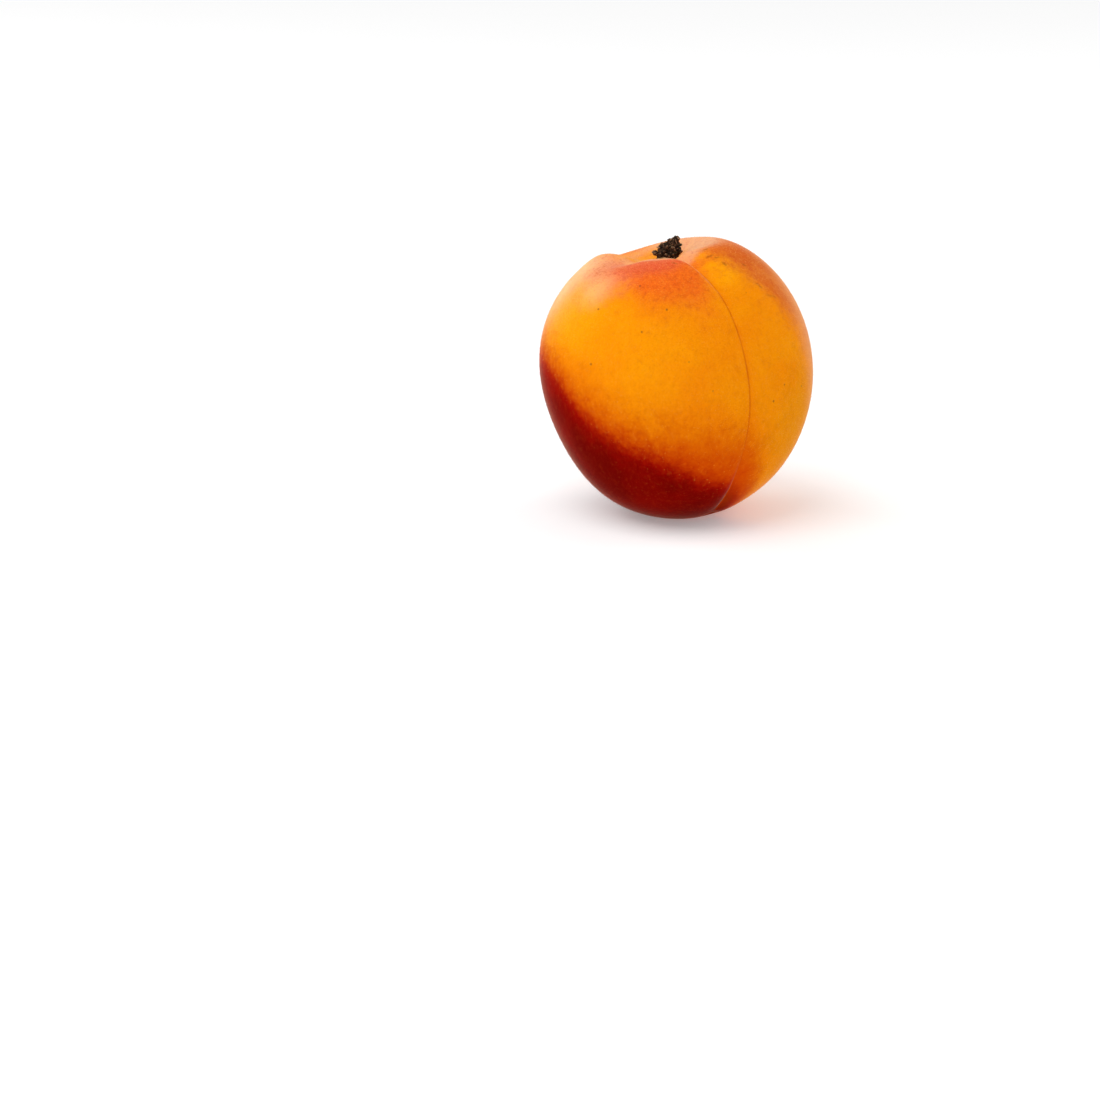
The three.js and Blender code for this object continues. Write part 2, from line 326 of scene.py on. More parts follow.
class Nodes:
    """Short calls for building a material's nodes."""

    def __init__(self, name):
        self.material = bpy.data.materials.new(name)
        self.material.use_nodes = True
        self.tree = self.material.node_tree
        self.shader = self.tree.nodes["Principled BSDF"]
        here = self.tree.nodes.new("ShaderNodeTexCoord").outputs["Object"]
        self.mm = self.vector("SCALE", here, scale=1 / MM)

    def _feed(self, socket, value):
        if isinstance(value, bpy.types.NodeSocket):
            self.tree.links.new(value, socket)
        elif isinstance(value, tuple) and len(value) == 3 and socket.type == "RGBA":
            socket.default_value = (*value, 1)
        else:
            socket.default_value = value

    def vector(self, operation, a, b=None, scale=None):
        node = self.tree.nodes.new("ShaderNodeVectorMath")
        node.operation = operation
        self._feed(node.inputs[0], a)
        if b is not None:
            self._feed(node.inputs[1], b)
        if scale is not None:
            self._feed(node.inputs["Scale"], scale)
        return node.outputs["Value" if operation in ("DISTANCE", "LENGTH") else "Vector"]

    def math(self, operation, a, b=0.0, clamp=False):
        node = self.tree.nodes.new("ShaderNodeMath")
        node.operation = operation
        node.use_clamp = clamp
        self._feed(node.inputs[0], a)
        self._feed(node.inputs[1], b)
        return node.outputs[0]

    def attribute(self, name):
        node = self.tree.nodes.new("ShaderNodeAttribute")
        node.attribute_name = name
        return node.outputs["Fac"]

    def noise(self, size, detail=3.0, roughness=0.55, where=None):
        """Noise from 0 to 1 whose features are about size millimetres."""
        node = self.tree.nodes.new("ShaderNodeTexNoise")
        self._feed(node.inputs["Vector"], where or self.mm)
        node.inputs["Scale"].default_value = 1 / size
        node.inputs["Detail"].default_value = detail
        node.inputs["Roughness"].default_value = roughness
        return node.outputs["Fac"]

    def cells(self, size):
        """Distance in cell widths from scattered points about size millimetres apart."""
        node = self.tree.nodes.new("ShaderNodeTexVoronoi")
        self._feed(node.inputs["Vector"], self.mm)
        node.inputs["Scale"].default_value = 1 / size
        return node.outputs["Distance"]

    def step(self, value, low, high):
        """A smooth step from 0 at low to 1 at high. low may be above high."""
        node = self.tree.nodes.new("ShaderNodeMapRange")
        node.interpolation_type = "SMOOTHSTEP"
        self._feed(node.inputs["Value"], value)
        flip = low > high
        node.inputs["From Min"].default_value = min(low, high)
        node.inputs["From Max"].default_value = max(low, high)
        node.inputs["To Min"].default_value = 1.0 if flip else 0.0
        node.inputs["To Max"].default_value = 0.0 if flip else 1.0
        return node.outputs[0]

    def mix(self, factor, a, b):
        node = self.tree.nodes.new("ShaderNodeMix")
        node.data_type = "RGBA"
        self._feed(node.inputs[0], factor)
        self._feed(node.inputs[6], a)
        self._feed(node.inputs[7], b)
        return node.outputs[2]

    def bump(self, height, distance, strength=1.0, below=None):
        node = self.tree.nodes.new("ShaderNodeBump")
        self._feed(node.inputs["Height"], height)
        node.inputs["Distance"].default_value = distance
        node.inputs["Strength"].default_value = strength
        if below is not None:
            self._feed(node.inputs["Normal"], below)
        return node.outputs["Normal"]

    def set(self, **values):
        for name, value in values.items():
            self._feed(self.shader.inputs[name.replace("_", " ")], value)


# Where the colours lie: masks over the skin, by azimuth from the front and polar angle, in degrees.
front = np.degrees(turn(heading_of(np.degrees(all_theta), all_azimuth) + SUTURE_TURN, 0))
polar = np.degrees(all_theta)


def patch(azimuth, height, wide, high):
    """A soft patch, 1 in its middle, its width measured along the surface."""
    aside = (front - azimuth + 180) % 360 - 180
    return bell(aside * np.maximum(np.sin(all_theta), 0.25), wide) * bell(polar - height, high)


# Upper edges of the red and of the deep red flank, partly the fruit's own blush and partly painted shade:
# azimuth from the front and polar angle.
RED_AND_SHADE_EDGE = [
    (-180, 140), (-140, 98), (-100, 74), (-75, 71), (-58, 76), (-46, 83), (-35, 90), (-26, 96), (-12, 102),
    (0, 103), (10, 106), (20, 108), (30, 112), (38, 118), (46, 130), (54, 148), (64, 168), (130, 168),
    (180, 140),
]
RED_AND_SHADE_SOFT = 24
DEEP_RED_AND_SHADE_EDGE = [
    (-180, 158), (-140, 112), (-100, 84), (-75, 78), (-58, 84), (-46, 95), (-35, 104), (-26, 109), (-12, 115),
    (0, 121), (10, 127), (30, 136), (45, 152), (60, 175), (130, 175), (180, 158),
]
DEEP_RED_AND_SHADE_SOFT = 16
# Polar angles between which both reds even out to the colour of the blossom end.
BLOSSOM_END = (148, 176)


def under_edge(edge, soft, at_tip):
    """0 above an edge over the skin, 1 below it, and at_tip all round the blossom end."""
    height = np.interp(front, *zip(*edge))
    tip = ramp(polar, *BLOSSOM_END)
    return ramp(polar, height - soft, height + soft) * (1 - tip) + at_tip * tip


# Patches of each colour: strength, then azimuth from the front, polar angle, half width and half height, in
# degrees.
PATCHES = {
    "rosy": [
        (1.15, -1, 36, 16, 18),
        (0.7, -48, 32, 13, 10),
        (0.45, 20, 50, 7, 18),
        (0.3, -64, 31, 12, 8),
        (0.55, 150, 40, 60, 30),
        (0.4, -120, 60, 30, 40),
    ],
    "crimson": [(1.3, -12, 28, 19, 9), (1.05, -52, 32, 10, 8)],
    "pink": [(1.35, -54, 31, 15, 9), (0.55, -34, 42, 11, 10), (0.5, -74, 38, 10, 12)],
    "russet": [(1.15, 77, 44, 15, 30), (0.5, 112, 42, 28, 30), (0.5, 90, 86, 15, 32)],
    "gold": [(1.3, 43, 31, 14, 18), (0.7, -58, 62, 26, 22), (0.6, -6, 72, 26, 22)],
    # cream and palest: painted highlights on the upper left, where light catches the down.
    "painted_highlight_cream": [(1.0, -88, 46, 22, 27), (0.75, -42, 45, 9, 11)],
    "painted_highlight_palest": [(0.9, -92, 44, 19, 22)],
    # painted_highlight_rim: painted highlight along the lit lip of the cavity's rim.
    "painted_highlight_rim": [(0.9, 98, 17, 17, 10), (0.7, 165, 22, 28, 9)],
    # painted_downy_rim_light: painted rim light, where the down on the near rim catches the light.
    "painted_downy_rim_light": [(1.0, -40, 19, 14, 4), (1.0, 0, 19, 14, 4), (0.8, 38, 17, 7, 8)],
    # edge: paler towards the right outline, partly blush and partly painted sheen.
    "edge": [(1.15, 86, 82, 18, 30), (0.5, 110, 60, 20, 40)],
    # olive: painted shade, a duller darker orange low on the right side.
    "olive": [(1.0, 72, 112, 34, 30)],
}

across = np.radians(1) * CHEEK_RADIUS * np.sin(all_theta) * np.degrees(all_azimuth)
masks = {name: sum(strength * patch(*place) for strength, *place in rows) for name, rows in PATCHES.items()}
masks |= {
    "across": across,
    "polar": polar,
    # The red and deep red flank: partly the fruit's own blush, partly painted shade low on the fruit.
    "red_and_shade": under_edge(RED_AND_SHADE_EDGE, RED_AND_SHADE_SOFT, 0.6),
    "deep_red_and_shade": under_edge(DEEP_RED_AND_SHADE_EDGE, DEEP_RED_AND_SHADE_SOFT, 0.15),
    "cavity": bell(polar, 14),
    "scar": bell(np.hypot(across, APEX_END * np.radians(polar - SCAR_POLAR)), SCAR_RADIUS * 0.8),
}
for name, values in masks.items():
    float_attribute(fruit.data, name, values)


# Specks on the fruit in the photograph: place in pixels and radius in millimetres.
SPECKS_PX = [
    (598.4, 309.2, 0.26),
    (666.8, 309.7, 0.24),
    (641.8, 332.0, 0.22),
    (591.0, 364.2, 0.25),
    (773.6, 401.2, 0.26),
    (784.5, 384.6, 0.20),
    (801.5, 385.9, 0.20),
    (640.0, 286.0, 0.20),
    (713.0, 391.0, 0.14),
    (689.0, 362.0, 0.14),
]
# Dark streaks on the high lobe: both ends in pixels, and half the width in millimetres.
STREAKS_PX = [
    ((707.5, 257.0), (711.5, 255.5), 0.34),
    ((715.0, 257.5), (718.0, 257.5), 0.22),
    ((704.0, 250.0), (707.0, 248.5), 0.26),
    ((722.5, 262.5), (726.0, 264.5), 0.24),
    ((743.0, 264.0), (744.5, 265.0), 0.22),
    ((757.0, 283.5), (761.0, 287.5), 0.26),
    ((768.0, 295.0), (775.0, 297.0), 0.26),
    ((673.0, 262.5), (676.0, 263.5), 0.26),
]

skin_tree = BVHTree.FromPolygons([Vector(p) for p in skin], faces)


def on_skin(x, y):
    """The skin's point, in millimetres, behind a pixel of the photograph."""
    right, up, ahead, reach = camera_axes()
    u = (x - PHOTO_SIDE / 2) * SENSOR / PHOTO_SIDE
    v = (PHOTO_SIDE / 2 - y) * SENSOR / PHOTO_SIDE
    ray = (right * u + up * v + ahead * LENS).normalized()
    hit, normal, index, distance = skin_tree.ray_cast(camera.matrix_world.translation, ray)
    return None if hit is None else hit / MM


# The skin's colours, in linear light. Those that share a mask's name are laid over the skin there.
ORANGE = (0.92, 0.297, 0.001)
DEEPER_ORANGE = (0.90, 0.262, 0.001)
RUDDY = (0.68, 0.155, 0.03)
DEEPER_RUDDY = (0.60, 0.095, 0.018)
# Reds of the lower flank, partly the fruit's own blush and partly painted shade, darkest low on the left.
FLANK_RED_AND_SHADE = (0.62, 0.066, 0.0005)
FLANK_DEEP_RED_AND_SHADE = (0.42, 0.004, 0.0004)
SHADED_MAROON = (0.21, 0.001, 0.0004)
DARKER_SHADED_MAROON = (0.15, 0.0006, 0.0004)
PAINT = {
    "gold": (0.97, 0.36, 0.001),
    "cavity": (0.97, 0.40, 0.02),
    # olive: painted shade low on the right side.
    "olive": (0.77, 0.26, 0.002),
    "rosy": (0.85, 0.125, 0.012),
    "pink": (0.87, 0.235, 0.13),
    "crimson": (0.72, 0.09, 0.045),
    # cream and palest: painted highlights where light catches the down on the upper left.
    "painted_highlight_cream": (0.96, 0.50, 0.20),
    "painted_highlight_palest": (0.97, 0.68, 0.38),
    # painted_highlight_rim: painted highlight on the cavity's lit lip.
    "painted_highlight_rim": (0.84, 0.47, 0.28),
    # edge: partly blush and partly painted sheen at the right outline.
    "edge": (0.87, 0.34, 0.12),
    # painted_downy_rim_light: painted rim light on the down of the near rim.
    "painted_downy_rim_light": (0.90, 0.45, 0.24),
    "scar": (0.16, 0.07, 0.03),
    "light grain": (1.0, 0.46, 0.02),
    "dark grain": (0.66, 0.11, 0.001),
    "veil": (0.80, 0.17, 0.001),
    "smudge": (0.58, 0.06, 0.008),
    "brushed light": (0.98, 0.40, 0.06),
    "freckle": (0.62, 0.06, 0.01),
    "pore": (1.0, 0.52, 0.12),
    "dot": (0.34, 0.04, 0.006),
    "suture line": (0.62, 0.09, 0.002),
    # Painted shade on the suture groove's right wall.
    "painted suture shade": (0.66, 0.07, 0.001),
    "speck": (0.22, 0.045, 0.012),
    "streak": (0.36, 0.07, 0.008),
}


class SkinNodes(Nodes):
    """The skin's colours and relief, laid one over the other in the order of the calls below."""

    def __init__(self):
        super().__init__("skin")
        self.broad = self.noise(9, detail=2)
        self.blotch = self.noise(2.6, detail=4, roughness=0.6)
        self.mottle = self.noise(0.9, detail=4, roughness=0.65)
        self.grain = self.noise(0.28, detail=3, roughness=0.7)
        self.upright = self.vector("MULTIPLY", self.mm, (1.0, 1.0, 0.35))
        self.brushed = self.noise(0.75, detail=4, roughness=0.65, where=self.upright)
        self.colour = self.mix(self.step(self.broad, 0.35, 0.65), ORANGE, DEEPER_ORANGE)

    def times(self, *shares):
        product = shares[0]
        for share in shares[1:]:
            product = self.math("MULTIPLY", product, share)
        return product

    def uneven(self, name, low, high, by_blotch=0.5, by_mottle=0.25):
        """A mask with a ragged edge: 0 where it is at low, 1 at high, shifted by blotches and mottling."""
        wander = self.times(self.math("SUBTRACT", self.blotch, 0.5), by_blotch)
        fine = self.times(self.math("SUBTRACT", self.mottle, 0.5), by_mottle)
        return self.step(self.math("ADD", self.attribute(name), self.math("ADD", wander, fine)), low, high)

    def lay(self, share, most, over):
        """Lays a colour over the skin, which hides share * most of what is below."""
        if isinstance(over, str):
            over = PAINT[over]
        self.colour = self.mix(self.math("MULTIPLY", share, most, clamp=True), self.colour, over)

    def add_patches(self):
        self.lay(self.uneven("gold", 0.15, 0.95), 1.0, "gold")
        self.lay(self.attribute("cavity"), 0.8, "cavity")
        # Painted shade: duller darker orange low on the right side.
        self.lay(self.uneven("olive", 0.2, 1.0), 1.0, "olive")
        rosy = self.uneven("rosy", 0.06, 1.0, 0.55, 0.35)
        self.lay(rosy, 0.92, "rosy")
        self.lay(self.uneven("pink", 0.1, 1.0, 0.5, 0.4), 0.8, "pink")
        self.lay(self.uneven("crimson", 0.1, 1.0, 0.5, 0.4), 0.85, "crimson")
        russet = self.uneven("russet", 0.1, 0.95, 0.6, 0.5)
        self.lay(russet, 0.88, self.mix(self.step(self.broad, 0.35, 0.65), RUDDY, DEEPER_RUDDY))
        # Painted highlights: the pale cream light on the down at the upper left.
        self.lay(self.uneven("painted_highlight_cream", 0.2, 1.05, 0.4, 0.2), 0.7, "painted_highlight_cream")
        self.lay(self.attribute("painted_highlight_palest"), 0.8, "painted_highlight_palest")
        # Painted highlight along the lit lip of the cavity's rim.
        self.lay(self.uneven("painted_highlight_rim", 0.1, 1.0, 0.4, 0.3), 0.8, "painted_highlight_rim")
        # Partly blush and partly painted sheen: paler towards the right outline.
        self.lay(self.uneven("edge", 0.2, 1.0, 0.3, 0.2), 0.65, "edge")
        # Painted rim light on the down of the cavity's near rim.
        self.lay(self.uneven("painted_downy_rim_light", 0.15, 1.0, 0.4, 0.3), 0.7, "painted_downy_rim_light")
        self.blushed = self.math("ADD", rosy, self.times(russet, 0.7))

    def add_grain(self):
        self.lay(self.step(self.grain, 0.5, 0.7), 0.26, "light grain")
        self.lay(self.step(self.grain, 0.5, 0.32), 0.32, "dark grain")
        self.lay(self.step(self.noise(5), 0.3, 0.7), 0.12, "veil")

    def add_red_flank_and_painted_shade(self):
        # The red flank is partly the fruit's own blush and partly painted shade, darker towards the bottom.
        self.lay(self.uneven("red_and_shade", 0.0, 1.0, 0.36, 0.32), 0.94, FLANK_RED_AND_SHADE)
        self.lay(self.uneven("deep_red_and_shade", -0.05, 0.75, 0.42, 0.36), 1.0, FLANK_DEEP_RED_AND_SHADE)
        self.deep_red_and_shade = self.uneven("deep_red_and_shade", 0.25, 1.0, 0.42, 0.36)
        self.lay(self.deep_red_and_shade, 1.0, self.mix(self.step(self.broad, 0.3, 0.7), SHADED_MAROON, DARKER_SHADED_MAROON))

    def add_mottling(self):
        """Fine upright strokes and freckles, strongest on the blush."""
        darker = self.math("ADD", 0.1, self.times(self.blushed, 0.4))
        self.lay(self.step(self.brushed, 0.48, 0.7), darker, "smudge")
        lighter = self.math("ADD", 0.08, self.times(self.blushed, 0.12))
        lighter = self.times(lighter, self.math("SUBTRACT", 1.0, self.times(self.deep_red_and_shade, 0.85)))
        self.lay(self.step(self.brushed, 0.46, 0.3), lighter, "brushed light")
        freckle = self.step(self.noise(0.3, detail=2, where=self.upright), 0.52, 0.68)
        self.lay(self.times(freckle, self.blushed), 0.3, "freckle")

    def add_pores(self):
        self.pores = self.step(self.cells(1.15), 0.13, 0.06)
        self.lay(self.pores, self.math("SUBTRACT", 0.22, self.times(self.deep_red_and_shade, 0.17)), "pore")
        dotted = self.step(self.noise(14, detail=1), 0.45, 0.6)
        self.lay(self.times(self.step(self.cells(4.3), 0.04, 0.015), dotted), 0.6, "dot")

    def add_suture(self):
        """The fine line in the suture's crease, and painted shade along its right side, wider low down."""
        side = self.attribute("across")
        height = self.attribute("polar")
        in_reach = self.times(self.step(height, 26, 40), self.step(height, 160, 150))
        width = self.math("ADD", 0.12, self.times(self.noise(3, detail=2), 0.14))
        off_line = self.math("ABSOLUTE", self.math("SUBTRACT", side, 0.05))
        line = self.step(self.math("DIVIDE", off_line, width), 1.6, 0.2)
        power = self.math("ADD", 0.3, self.times(self.blotch, 0.6))
        self.lay(self.times(line, in_reach), power, "suture line")
        # Painted shade on the groove's right wall, wider low down.
        width = self.math("ADD", 1.3, self.times(self.step(height, 85, 130), 3.2))
        fade = self.step(self.math("DIVIDE", side, width), 1.05, 0.0)
        shade = self.times(self.step(side, -0.15, 0.3), fade)
        power = self.math("ADD", 0.12, self.times(self.step(height, 88, 130), 0.2))
        self.lay(self.times(shade, in_reach, power), self.math("ADD", 0.6, self.blotch), "painted suture shade")

    def add_marks(self):
        """The photograph's specks, and its streaks as four ragged dabs each."""
        for x, y, radius in SPECKS_PX:
            place = on_skin(x, y)
            if place is not None:
                away = self.vector("DISTANCE", self.mm, tuple(place))
                self.lay(self.step(away, radius * 1.2, radius * 0.4), 0.72, "speck")
        raggedness = self.times(self.noise(0.55, roughness=0.6), 0.9)
        for first, second, radius in STREAKS_PX:
            a, b = on_skin(*first), on_skin(*second)
            if a is None or b is None:
                continue
            for share in (0.0, 0.33, 0.67, 1.0):
                away = self.vector("DISTANCE", self.mm, tuple(a.lerp(b, share)))
                away = self.math("SUBTRACT", away, raggedness)
                self.lay(self.step(away, radius * 1.6 - 0.45, radius * 0.4 - 0.45), 0.3, "streak")
        self.lay(self.attribute("scar"), 0.9, "scar")

    def add_surface(self):
        normal = self.bump(self.blotch, 0.05 * MM, 0.5)
        normal = self.bump(self.mottle, 0.04 * MM, 0.6, normal)
        normal = self.bump(self.grain, 0.02 * MM, 0.7, normal)
        normal = self.bump(self.pores, 0.02 * MM, 0.5, normal)
        roughness = self.math("ADD", 0.5, self.times(self.mottle, 0.15))
        self.set(Base_Color=self.colour, Roughness=roughness, Normal=normal)
        shader = self.shader.inputs
        shader["Specular IOR Level"].default_value = 0.0
        shader["Subsurface Weight"].default_value = 0.25
        shader["Subsurface Scale"].default_value = 1.2 * MM
        shader["Subsurface Radius"].default_value = (1.0, 0.4, 0.12)
        shader["Sheen Weight"].default_value = 0.5
        shader["Sheen Roughness"].default_value = 0.22
        shader["Sheen Tint"].default_value = (1.0, 0.74, 0.56, 1)


def skin_material():
    n = SkinNodes()
    n.add_patches()
    n.add_grain()
    n.add_red_flank_and_painted_shade()
    n.add_mottling()
    n.add_pores()
    n.add_suture()
    n.add_marks()
    n.add_surface()
    return n.material


fruit.data.materials.append(skin_material())
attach(fruit, "root")
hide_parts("fruit")


# Down: short hairs as three-sided spikes, laid over towards the blossom end, golden on the orange skin and
# dull red on the red flank, that red partly painted shade. Lengths are in millimetres. A piece has DOWN_MOST
# hairs at the most.
DOWN_HAIRS = 92000
DOWN_MOST = 46000
DOWN_LENGTH = (0.13, 0.32)
DOWN_RADIUS = 0.0065
DOWN_SUNK = 0.03
DOWN_CLEAR_OF_FLOOR = 0.9
# How far the hairs bend down and stray from that, and how much they lean, as shares of the upright.
DOWN_BEND = 0.8
DOWN_STRAY = 0.55
DOWN_LEAN = (0.5, 1.0)
# How many of the hairs are red where the skin is fully red: above 1, all of them a little before that.
RED_HAIRS = 1.1
DOWN_SEED = 100
GOLDEN_DOWN = (1.0, 0.56, 0.2)
# The red hairs' dark colour is partly painted shade, like the flank under them.
SHADED_RED_DOWN = (0.42, 0.03, 0.006)


def down_roots(draw):
    """Places for the hairs, the skin's normals there, and how red the skin is."""
    mesh = fruit.data
    mesh.calc_loop_triangles()
    corners = np.zeros(len(mesh.loop_triangles) * 3, np.int32)
    mesh.loop_triangles.foreach_get("vertices", corners)
    corners = corners.reshape(-1, 3)
    a, b, c = (skin[corners[:, k]] / MM for k in range(3))
    cross = np.cross(b - a, c - a)
    area = np.linalg.norm(cross, axis=1)
    chosen = draw.choice(len(area), DOWN_HAIRS, p=area / area.sum())
    u, v = draw.random((2, DOWN_HAIRS, 1))
    over = u + v > 1
    u, v = np.where(over, 1 - u, u), np.where(over, 1 - v, v)
    a, b, c = a[chosen], b[chosen], c[chosen]
    root = a + (b - a) * u + (c - a) * v
    normal = cross[chosen] / area[chosen][:, None]
    keep = root[:, 2] > DOWN_CLEAR_OF_FLOOR
    return root[keep], normal[keep], masks["red_and_shade"][corners[chosen, 0]][keep]


def add_hairs(name, root, normal, draw, material):
    count = len(root)
    lay = np.array([0.0, 0.0, -DOWN_BEND]) + draw.normal(0, DOWN_STRAY, (count, 3))
    lay -= normal * (lay * normal).sum(1)[:, None]
    way = normal + lay * draw.uniform(*DOWN_LEAN, count)[:, None]
    way /= np.linalg.norm(way, axis=1)[:, None]
    length = draw.uniform(*DOWN_LENGTH, count)
    first = np.cross(way, draw.normal(0, 1, (count, 3)))
    first /= np.linalg.norm(first, axis=1)[:, None]
    second = np.cross(way, first)
    foot = root - normal * DOWN_SUNK
    points = np.empty((count, 4, 3))
    for k in range(3):
        angle = 2 * math.pi * k / 3
        points[:, k] = foot + (first * math.cos(angle) + second * math.sin(angle)) * DOWN_RADIUS
    points[:, 3] = root + way * length[:, None]
    base = np.arange(count)[:, None] * 4
    tris = np.concatenate([base + np.array(f) for f in ((0, 1, 3), (1, 2, 3), (2, 0, 3), (2, 1, 0))])
    down = mesh_object(name, points.reshape(-1, 3) * MM, tris.tolist())
    down.data.materials.append(material)
    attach(down, "root")


def down_material(name, colour):
    n = Nodes(name)
    n.shader.inputs["Base Color"].default_value = (*colour, 1)
    n.shader.inputs["Roughness"].default_value = 0.7
    n.shader.inputs["Specular IOR Level"].default_value = 0.1
    return n.material


def add_down():
    draw = np.random.default_rng(DOWN_SEED)
    root, normal, dark = down_roots(draw)
    red_and_shade = draw.random(len(root)) < dark * RED_HAIRS
    golden = down_material("golden_down", GOLDEN_DOWN)
    dull = down_material("red_down", SHADED_RED_DOWN)
    pieces = -(-np.count_nonzero(~red_and_shade) // DOWN_MOST)
    for k in range(pieces):
        add_hairs(f"down_golden_{k + 1}", root[~red_and_shade][k::pieces], normal[~red_and_shade][k::pieces], draw, golden)
    add_hairs("down_red", root[red_and_shade], normal[red_and_shade], draw, dull)


add_down()


# The stem stub: lumps and flakes fused into one crumbly body.
STEM_SEED = 7
STEM_VOXEL = 0.062
# The roughness of its surface: size and height of each set of waves, in millimetres, the waves in a set, and
# the heights above its foot between which the roughness starts.
STEM_WAVES = ((1.2, 0.08), (0.55, 0.08), (0.28, 0.05))
WAVES_IN_SET = 6
STEM_ROUGH_START = (0.2, 1.6)
# Each lump: its middle and its half sizes, in millimetres from the stem's foot.
STEM_LUMPS = [
    ((0.0, 0.0, -1.3), (1.5, 1.5, 1.0)),
    ((0.0, 0.0, -0.2), (1.55, 1.55, 1.1)),
    ((0.0, 0.0, 0.9), (1.55, 1.55, 1.2)),
    ((0.25, 0.0, 2.0), (1.35, 1.45, 1.2)),
    ((0.85, 0.05, 3.1), (1.15, 1.35, 1.2)),
    ((1.05, 0.0, 4.3), (1.15, 1.25, 1.1)),
    ((1.0, -0.05, 5.2), (0.95, 1.0, 0.9)),
    ((0.95, -0.1, 6.0), (0.62, 0.62, 0.6)),
    ((-0.75, 0.0, 2.8), (1.15, 1.25, 1.0)),
    ((-0.8, 0.05, 3.7), (1.05, 1.15, 0.9)),
    ((-0.55, 0.1, 4.6), (0.95, 0.9, 0.65)),
    ((0.1, 0.0, 5.3), (0.55, 0.65, 0.5)),
    ((-1.85, -0.3, 3.0), (0.5, 0.42, 0.3)),
    ((-2.25, -0.35, 3.3), (0.4, 0.38, 0.45)),
    ((-1.75, -0.35, 4.3), (0.42, 0.25, 0.15)),
]
# Flakes: how many, the lumps that they stand out of, and their sizes in millimetres.
FLAKES = 60
FLAKED_LUMPS = STEM_LUMPS[4:12]
FLAKE_HALF_WIDTH = (0.32, 0.6)
FLAKE_HALF_HEIGHT = (0.3, 0.5)
FLAKE_HALF_THICKNESS = 0.11


def stem_place():
    foot = (skin_points(np.array([0.0]), np.array([0.0]))[0] @ stand.T) + shift
    return Matrix.Translation(Vector(foot)) @ Matrix.Rotation(STEM_LEAN, 4, "Y")


def add_lump(shape, matrix, fineness=2):
    bmesh.ops.create_icosphere(shape, subdivisions=fineness, radius=1, matrix=matrix)


def squeezed(x, y, z):
    return Matrix.Diagonal((x, y, z, 1))


def stem_lumps():
    """The stub in millimetres, in its own frame: overlapping lumps with curled flakes that stand out."""
    draw = np.random.default_rng(STEM_SEED)
    shape = bmesh.new()
    for middle, half in STEM_LUMPS:
        add_lump(shape, Matrix.Translation(middle) @ squeezed(*half), 3)
    for index in range(FLAKES):
        middle, half = FLAKED_LUMPS[index % len(FLAKED_LUMPS)]
        way = Vector(draw.normal((0, 0, 0.2), (1, 1, 0.6))).normalized()
        on = Vector(middle) + Vector(way[k] * half[k] * 0.97 for k in range(3))
        outward = way.to_track_quat("Y", "Z").to_matrix().to_4x4()
        tilt = Euler((draw.uniform(-0.8, -0.1), draw.normal(0, 0.35), draw.normal(0, 0.6)))
        tilted = Matrix.Translation(on) @ outward @ tilt.to_matrix().to_4x4()
        wide, tall = draw.uniform(*FLAKE_HALF_WIDTH), draw.uniform(*FLAKE_HALF_HEIGHT)
        for bend in (-1, 0, 1):
            offset = Matrix.Translation((0, 0.08 * abs(bend), 0.3 * bend))
            part = Matrix.Rotation(0.45 * bend, 4, "X") @ offset
            size = squeezed(wide * (1 - 0.15 * bend), FLAKE_HALF_THICKNESS, tall * 0.6)
            add_lump(shape, tilted @ part @ size)
    return shape


def crumble(points, draw):
    """Pushes points in and out by smooth noise, in millimetres."""
    moved = np.zeros(len(points))
    for size, height in STEM_WAVES:
        for _ in range(WAVES_IN_SET):
            way = draw.normal(0, 1, 3)
            way *= 2 * math.pi / size / np.linalg.norm(way)
            moved += height * np.sin(points @ way + draw.uniform(0, 2 * math.pi)) / math.sqrt(WAVES_IN_SET)
    return moved


def stands_out(mesh, points, normals):
    """0.5 on flat stretches of a mesh, towards 1 on edges that stand out and towards 0 in hollows."""
    ends = np.zeros(len(mesh.edges) * 2, np.int32)
    mesh.edges.foreach_get("vertices", ends)
    first, second = ends.reshape(-1, 2).T
    count = np.maximum(np.bincount(ends, minlength=len(points)), 1)
    lean = np.zeros(len(points))
    rise = ((points[second] - points[first]) * normals[first]).sum(1)
    np.add.at(lean, first, -rise)
    rise = ((points[first] - points[second]) * normals[second]).sum(1)
    np.add.at(lean, second, -rise)
    lean /= count
    for _ in range(3):
        total = np.zeros(len(points))
        np.add.at(total, first, lean[second])
        np.add.at(total, second, lean[first])
        lean = 0.4 * lean + 0.6 * total / count
    return 0.5 + lean / (STEM_VOXEL * 0.5)


def add_stem():
    shape = stem_lumps()
    rough = bpy.data.meshes.new("stem_lumps")
    shape.to_mesh(rough)
    shape.free()
    lumps = bpy.data.objects.new("stem_lumps", rough)
    bpy.context.scene.collection.objects.link(lumps)
    fuse = lumps.modifiers.new("fuse", "REMESH")
    fuse.mode = "VOXEL"
    fuse.voxel_size = STEM_VOXEL
    graph = bpy.context.evaluated_depsgraph_get()
    mesh = bpy.data.meshes.new_from_object(lumps.evaluated_get(graph))
    bpy.data.objects.remove(lumps)
    mesh.name = "stem_stub"
    count = len(mesh.vertices)
    points = np.zeros(count * 3)
    normals = np.zeros(count * 3)
    mesh.vertices.foreach_get("co", points)
    mesh.vertices.foreach_get("normal", normals)
    points, normals = points.reshape(-1, 3), normals.reshape(-1, 3)
    push = crumble(points, np.random.default_rng(STEM_SEED + 1)) * ramp(points[:, 2], *STEM_ROUGH_START)
    float_attribute(mesh, "edge", stands_out(mesh, points, normals))
    points = points + normals * push[:, None]
    place = np.array(stem_place())
    points = (points @ place[:3, :3].T + place[:3, 3]) * MM
    mesh.vertices.foreach_set("co", points.ravel())
    mesh.update()
    mesh.shade_smooth()
    stem = bpy.data.objects.new("stem_stub", mesh)
    bpy.context.scene.collection.objects.link(stem)
    return stem


